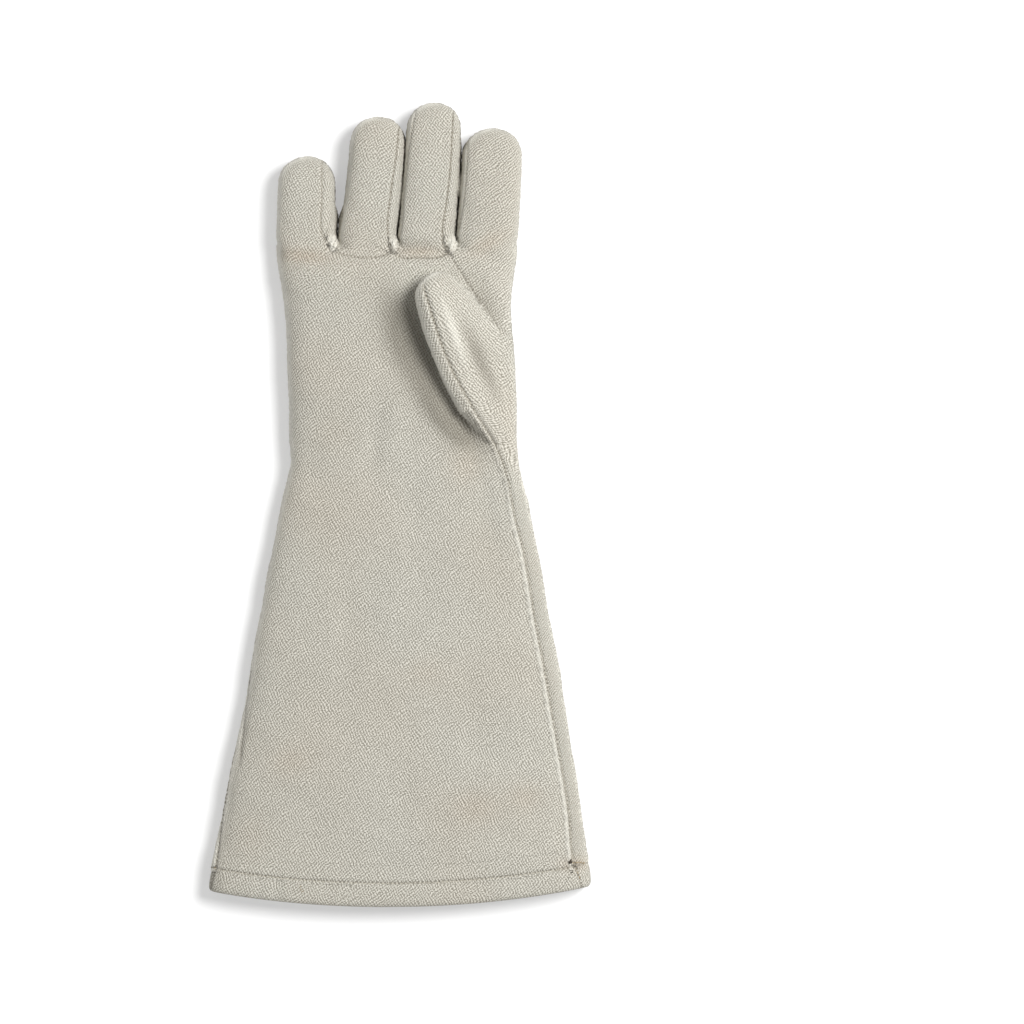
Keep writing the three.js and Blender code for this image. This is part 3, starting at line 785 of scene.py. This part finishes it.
class Shade:
    """The nodes of one material."""

    def __init__(self, name):
        self.material = bpy.data.materials.new(name)
        self.material.use_nodes = True
        self.tree = self.material.node_tree
        self.surface = self.tree.nodes["Principled BSDF"]

    def feed(self, socket, value):
        if isinstance(value, Number):
            self.tree.links.new(value.socket, socket)
        elif isinstance(value, bpy.types.NodeSocket):
            self.tree.links.new(value, socket)
        else:
            socket.default_value = value

    def node(self, kind, settings, sockets):
        node = self.tree.nodes.new(kind)
        for key, value in settings.items():
            setattr(node, key, value)
        for key, value in sockets.items():
            self.feed(node.inputs[key], value)
        return node

    def maths(self, operation, *values):
        node = self.node("ShaderNodeMath", {"operation": operation}, dict(enumerate(values)))
        return Number(self, node.outputs[0])

    def vector(self, name):
        return self.node("ShaderNodeAttribute", {"attribute_name": name}, {}).outputs["Vector"]

    def parts(self, vector):
        node = self.node("ShaderNodeSeparateXYZ", {}, {"Vector": vector})
        return [Number(self, node.outputs[i]) for i in range(3)]

    def noise(self, vector, size, detail=2.0):
        """Soft noise with lumps about size millimetres across, from -1 to 1."""
        sockets = {"Vector": vector, "Scale": 1 / size, "Detail": detail, "Roughness": 0.5}
        node = self.node("ShaderNodeTexNoise", {}, sockets)
        return Number(self, node.outputs["Fac"]) * 2.0 - 1.0

    def rise(self, value, low, high):
        """0 below low, 1 above high and a soft step between."""
        sockets = {"Value": value, "From Min": low, "From Max": high}
        node = self.node("ShaderNodeMapRange", {"interpolation_type": "SMOOTHSTEP"}, sockets)
        return Number(self, node.outputs["Result"])

    def bell(self, value, width):
        return self.maths("EXPONENT", -(value * value) * (1 / width**2))

    def mix(self, share, a, b):
        node = self.node("ShaderNodeMix", {"data_type": "RGBA"}, {"Factor": share})
        self.feed(node.inputs[6], a)
        self.feed(node.inputs[7], b)
        return node.outputs[2]


THREAD = 1.49


def cloth_material(name, steep):
    """Undyed heavy cloth of two crossing sets of short raised threads, with sewn lines and painted light and shade."""
    shade = Shade(name)
    cloth = shade.vector("cloth")
    u, v, _ = shade.parts(cloth)
    away, along, _ = shade.parts(shade.vector("sewn"))
    shown, tint, painted_shading = shade.parts(shade.vector("marks"))

    u = u + shade.noise(cloth, 10.0, 1.0) * 1.3
    v = v + shade.noise(cloth, 8.0, 1.0) * 1.3
    wander = shade.noise(cloth, 3.4, 2.0)
    wander_too = shade.noise(cloth, 3.0, 2.0)
    patch = shade.noise(cloth, 8.0, 2.0)
    turn = 2 * math.pi / THREAD
    steep_lines = shade.maths("SINE", u * (0.891 * turn) + v * (0.454 * turn) + wander * 3.4)
    flat_lines = shade.maths("SINE", u * (0.643 * turn) - v * (0.766 * turn) + wander_too * 3.4)
    share = shade.rise(patch + (steep - 0.5) * 1.4, -0.6, 0.6)
    speck = shade.noise(cloth, 0.62, 0.0)
    threads = steep_lines * (share * 0.55 + 0.3) + flat_lines * (0.85 - share * 0.55) + speck * 2.1
    level = shade.rise(threads, -1.25, 1.4)

    uneven = shade.noise(cloth, 5.0, 2.0)
    seam = shade.bell(away, 0.58)
    stitch = shade.rise(shade.maths("SINE", along * (2 * math.pi / 2.35) + uneven * 3.0), -0.3, 0.9)
    dark = seam * shown * (0.45 + 0.5 * stitch)
    rub = shade.noise(cloth, 28.0, 3.0)

    light = shade.mix(tint, (0.585, 0.566, 0.506, 1), (0.57, 0.513, 0.43, 1))
    deep = shade.mix(tint, (0.185, 0.175, 0.142, 1), (0.18, 0.15, 0.112, 1))
    colour = shade.mix(level, deep, light)
    colour = shade.mix(0.5 + 0.35 * rub, colour, shade.mix(0.12, colour, (0.8, 0.78, 0.7, 1)))
    # The painted light and shade mark makes the cloth paler where it is positive and darker where it is negative.
    colour = shade.mix(shade.rise(painted_shading, 0.0, 1.0) * 0.75, colour, (0.78, 0.76, 0.685, 1))
    colour = shade.mix(shade.rise(-painted_shading, 0.0, 1.0) * 0.56, colour, (0.1, 0.088, 0.065, 1))
    colour = shade.mix(dark, colour, (0.12, 0.1, 0.07, 1))
    shade.feed(shade.surface.inputs["Base Color"], colour)
    shade.feed(shade.surface.inputs["Roughness"], 0.97 - level * 0.06)
    shade.surface.inputs["Specular IOR Level"].default_value = 0.2
    height = level * 0.22 + shade.noise(cloth, 0.4, 1.0) * 0.03 - seam * (0.1 + 0.3 * stitch)
    bump = shade.node("ShaderNodeBump", {}, {"Strength": 1.0, "Distance": 0.001, "Height": height})
    shade.feed(shade.surface.inputs["Normal"], bump.outputs["Normal"])
    return shade.material


def unsewn(p):
    return np.tile([30.0, 0, 0], (len(p), 1))


def unmarked(p):
    return np.stack([np.zeros(len(p)), tint_at(p), np.zeros(len(p))], axis=1)


materials = {name: cloth_material(name + "_cloth", steep) for name, (_, steep) in WEAVE.items()}
pieces = {}
for name in WEAVE:
    if name == "cuff_hem":
        continue
    mask = outer_names == name
    skins = [(moved, outer_f[mask], outer_normal, unrolled(outer_p, soft_normal, name),
              np.stack([nearest, along_seam, 0 * nearest], axis=1),
              np.stack([shown, tint_at(outer_p), painted_shading], axis=1))]
    hidden = inner_names == name
    if hidden.any():
        skins.append((inner_p, inner_f[hidden][:, ::-1], inner_normal, unrolled(inner_p, inner_normal, name),
                      unsewn(inner_p), unmarked(inner_p)))
    pieces[name] = cloth_piece(name + "_cloth", skins, materials[name])

# The hem: the cloth turned up inside and sewn down, as one rolled ring round the mouth.
HEM_PROFILE = [
    (HEM_DEPTH + 0.8, 2.2), (HEM_DEPTH + 0.6, 1.0), (HEM_DEPTH + 0.4, 0.3), (HEM_DEPTH - 0.3, -0.15), (HEM_DEPTH - 1.6, -0.5),
    (HEM_DEPTH - 4, -0.68), (7, -0.72), (4.5, -0.65), (2.6, -0.45), (1.2, 0.05), (0.25, 0.9),
    (0, 2.0), (0.25, 3.1), (1.2, 4.0), (3.2, 4.3), (6, 4.2), (9, 4.2), (HEM_DEPTH, 4.2),
    (HEM_DEPTH + 0.5, 3.4), (HEM_DEPTH + 0.6, 2.2),
]
hem_turn = turns(420)
ring = body_point(np.full(420, HEM_Y + 8.0), hem_turn)
offsets = np.array(HEM_PROFILE)
rows = []
for height, inset in offsets:
    y = hem_line(ring[:, 0], height)
    around = waves(ring, 22, 9) * 0.25 + waves(ring, 9, 10) * 0.12
    rows.append(body_point(y, hem_turn, inset - around * (inset < 1.5), 0.0 if inset < 1 else inset))
hem_p = np.array(rows)
hem_steps = np.linalg.norm(np.diff(ring, axis=0), axis=1)
hem_cloth = np.stack([
    np.r_[0, np.cumsum(hem_steps)] + 0 * hem_p[..., 0],
    np.cumsum(np.r_[0, np.hypot(*np.diff(offsets, axis=0).T)])[:, None] + 0 * hem_p[..., 0],
    0 * hem_p[..., 0]], axis=-1).reshape(-1, 3)
sides = len(hem_turn)
a = np.arange(sides)[None, :]
b = (a + 1) % sides
row = np.arange(len(rows))[:, None] * sides
above = ((np.arange(len(rows)) + 1) % len(rows))[:, None] * sides
hem_f = np.stack([row + a, row + b, above + b, above + a], axis=-1).reshape(-1, 4)
hem_p = hem_p.reshape(-1, 3)
hem_n = normals_of(hem_p, hem_f)
if np.mean(hem_n[: sides // 4, 2]) < 0:
    hem_f = hem_f[:, ::-1]
    hem_n = -hem_n
hem_seams = [
    soft_line([(97.5, -194), (100.0, -205), (102.6, -212), (104.8, -220)]),
    soft_line([(-102.6, -199), (-105, -209), (-107, -217), (-108.4, -223)]),
]
hem_away = np.full(len(hem_p), 30.0)
hem_along = np.zeros(len(hem_p))
for line in hem_seams:
    d, along, side = beside_line(hem_p[:, :2], line)
    near = (hem_n[:, 2] > 0) & (d < hem_away) & (hem_p[:, 2] > 12)
    hem_away[near] = (d * np.where(side < 0, -1, 1))[near]
    hem_along[near] = along[near]
    hem_p[near] -= hem_n[near] * (0.55 * np.exp(-((d / 1.0) ** 2)))[near][:, None]
lip = hem_p[:, 1] - hem_line(hem_p[:, 0], HEM_DEPTH + 0.5)
near = (hem_n[:, 2] > -0.2) & (np.abs(lip) < np.abs(hem_away)) & (hem_p[:, 2] > 8)
hem_away[near] = lip[near]
hem_along[near] = hem_p[near, 0]
hem_sewn = np.stack([hem_away, hem_along, 0 * hem_away], axis=1)
hem_marks = np.stack([0 * hem_away + 0.6, tint_at(hem_p), 0 * hem_away], axis=1)
pieces["cuff_hem"] = cloth_piece("cuff_hem_cloth", [(hem_p, hem_f, hem_n, hem_cloth, hem_sewn, hem_marks)],
                                 materials["cuff_hem"])

# The threads: short rounded stitches that lie in the seams.
cloth_tree = BVHTree.FromPolygons(
    np.concatenate([moved, hem_p]).tolist(),
    outer_f[outer_names != ""].tolist() + (hem_f + len(moved)).tolist())
chance = np.random.default_rng(4)


def stitch(points, faces, place, along, size, thick):
    """Adds one stitch with its middle at place, lying along a direction on the cloth."""
    hit, up = cloth_tree.ray_cast((place[0], place[1], 90), (0, 0, -1))[:2]
    if hit is None:
        return
    up, forward = np.array(up), np.array([along[0], along[1], 0.0])
    forward -= up * (forward @ up)
    forward /= np.linalg.norm(forward)
    across = np.cross(up, forward)
    middle = np.array(hit) + up * thick * 0.3
    start = len(points)
    for step, girth in ((-0.5, 0.4), (-0.36, 0.95), (0.0, 1.1), (0.36, 0.95), (0.5, 0.4)):
        for turn in turns(6):
            ring = (across * math.cos(turn) + up * math.sin(turn)) * girth * thick
            points.append(middle + forward * step * size - up * abs(step) * thick + ring)
    for row in range(4):
        for i in range(6):
            a = start + row * 6 + i
            b = start + row * 6 + (i + 1) % 6
            faces.append((a, a + 6, b + 6, b))
    faces.append(tuple(range(start, start + 6)))
    faces.append(tuple(range(start + 29, start + 23, -1)))


def stitch_row(points, faces, line, pitch, size, thick):
    steps = np.diff(line, axis=0)
    s = np.concatenate([[0], np.cumsum(np.hypot(steps[:, 0], steps[:, 1]))])
    for at in np.arange(pitch / 2, s[-1], pitch):
        i = min(int(np.searchsorted(s, at)), len(steps)) - 1
        share = (at - s[i]) / (s[i + 1] - s[i])
        angle = math.atan2(steps[i][1], steps[i][0]) + chance.normal(0, 0.08)
        place = line[i] + steps[i] * share + chance.normal(0, 0.07, 2)
        stitch(points, faces, place, (math.cos(angle), math.sin(angle)), size, thick)


def thread_piece(name, points, faces, material):
    mesh = mesh_of(name, np.array(points) + np.array([SHIFT_X, 0, 0]), faces)
    mesh.shade_smooth()
    mesh.materials.append(material)
    piece = bpy.data.objects.new(name, mesh)
    bpy.context.collection.objects.link(piece)
    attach(piece, "root")


def thread_material(name, light, deep, size):
    """Twisted cotton thread, unevenly dyed along its length."""
    shade = Shade(name)
    place = shade.node("ShaderNodeTexCoord", {}, {}).outputs["Object"]
    twist = shade.noise(place, size, 1.0)
    shade.feed(shade.surface.inputs["Base Color"], shade.mix(0.5 + 0.9 * twist, deep, light))
    shade.feed(shade.surface.inputs["Roughness"], 0.85 + 0.1 * twist)
    bump = shade.node("ShaderNodeBump", {}, {"Strength": 0.6, "Distance": 0.0001, "Height": twist})
    shade.feed(shade.surface.inputs["Normal"], bump.outputs["Normal"])
    return shade.material


thread_colour = thread_material("sewing_thread", (0.6, 0.57, 0.49, 1), (0.36, 0.33, 0.26, 1), 0.0006)
dark_thread = thread_material("dark_thread", (0.42, 0.34, 0.22, 1), (0.12, 0.09, 0.055, 1), 0.0009)

points, faces = [], []
for name in ("little_right", "ring_left", "middle_left", "index_left"):
    stitch_row(points, faces, seams[name][3:], 2.35, 1.25, 0.22)
for name in ("ring_right", "middle_right"):
    stitch_row(points, faces, seams[name][3:], 2.35, 1.05, 0.15)
for name in ("ring_base", "middle_base"):
    stitch_row(points, faces, seams[name], 2.35, 1.1, 0.18)
stitch_row(points, faces, seams["thumb_front"], 2.4, 1.4, 0.24)
stitch_row(points, faces, seams["thumb_side"], 2.5, 1.35, 0.2)
stitch_row(points, faces, seams["little_side"][LITTLE_TOP:], 2.5, 1.3, 0.2)
thread_piece("seam_stitches", points, faces, thread_colour)

points, faces = [], []
hem_x = np.linspace(-106, 99, 160)
stitch_row(points, faces, np.stack([hem_x, hem_line(hem_x, HEM_DEPTH + 0.45)], axis=1), 2.6, 1.5, 0.24)
thread_piece("hem_stitches", points, faces, thread_colour)

points, faces = [], []
for x in (99.2, 101.2, 103.2, 105.0):
    stitch(points, faces, (x, -203.3 + chance.normal(0, 0.25)), (1, 0.06), 2.0, 0.4)
for x, y in ((100.6, -206.6), (101.7, -209.2), (102.6, -211.8)):
    stitch(points, faces, (x, y), (0.4, -1), 1.7, 0.26)
for x, y in ((-106.6, -206.2), (-104.6, -206.5)):
    stitch(points, faces, (x, y), (1, -0.15), 2.0, 0.28)
for x, y, dx, dy in ((-55.8, -216.9, 0.3, 1), (-55.3, -218.5, -0.2, 1), (-54.6, -219.6, 1, 0.5)):
    stitch(points, faces, (x, y), (dx, dy), 1.6, 0.22)
thread_piece("bar_tacks", points, faces, dark_thread)

# The needle hole: two dark blobs sunk into the cloth, whose near-black colour is painted shade for the inside of the
# hole.
points, faces = [], []
stitch(points, faces, (97.4, -203.1), (1, 0.1), 2.2, 0.8)
stitch(points, faces, (97.7, -202.1), (0.3, 1), 1.8, 0.5)
painted_hole_shade = thread_material("needle_hole", (0.06, 0.045, 0.028, 1), (0.02, 0.015, 0.01, 1), 0.0005)
thread_piece("needle_hole", np.array(points) - np.array([0, 0, 0.25]), faces, painted_hole_shade)

for name, piece in pieces.items():
    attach(piece, "root")
    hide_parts(name)

floor_mesh = bpy.data.meshes.new("floor")
floor_mesh.from_pydata([(-3, -3, -0.0004), (3, -3, -0.0004), (3, 3, -0.0004), (-3, 3, -0.0004)], [], [(0, 1, 2, 3)])
floor = bpy.data.objects.new("floor", floor_mesh)
bpy.context.collection.objects.link(floor)
floor_material = bpy.data.materials.new("floor")
floor_material.use_nodes = True
floor_shader = floor_material.node_tree.nodes["Principled BSDF"]
floor_shader.inputs["Base Color"].default_value = (0.56, 0.56, 0.56, 1)
floor_shader.inputs["Emission Color"].default_value = (1, 1, 1, 1)
floor_shader.inputs["Emission Strength"].default_value = 0.4
floor_shader.inputs["Roughness"].default_value = 1.0
floor_shader.inputs["Specular IOR Level"].default_value = 0.0
floor_mesh.materials.append(floor_material)

# The camera stands straight over the glove, which lies left of the middle of the view.
SCALE = 0.569
camera_data = bpy.data.cameras.new("camera")
camera_data.sensor_width = 36
camera_data.lens = 250
camera = bpy.data.objects.new("camera", camera_data)
bpy.context.collection.objects.link(camera)
width = 1024 * SCALE * MM
distance = width * 250 / 36
camera.location = ((512 - 399.5) * SCALE * MM, -(512 - 504.5) * SCALE * MM, distance + 0.012)
bpy.context.scene.camera = camera


def area_light(name, place, target, size, power):
    data = bpy.data.lights.new(name, "AREA")
    data.shape = "DISK"
    data.size = size
    data.energy = power
    light = bpy.data.objects.new(name, data)
    bpy.context.collection.objects.link(light)
    light.location = place
    light.rotation_euler = (Vector(target) - Vector(place)).to_track_quat("-Z", "Y").to_euler()


area_light("key", (1.3, 0.62, 2.28), (0, 0, 0), 1.15, 94)
world = bpy.data.worlds.new("studio")
world.use_nodes = True
world.node_tree.nodes["Background"].inputs["Color"].default_value = (1, 1, 1, 1)
world.node_tree.nodes["Background"].inputs["Strength"].default_value = 0.43
bpy.context.scene.world = world
bpy.context.scene.view_settings.view_transform = "Standard"
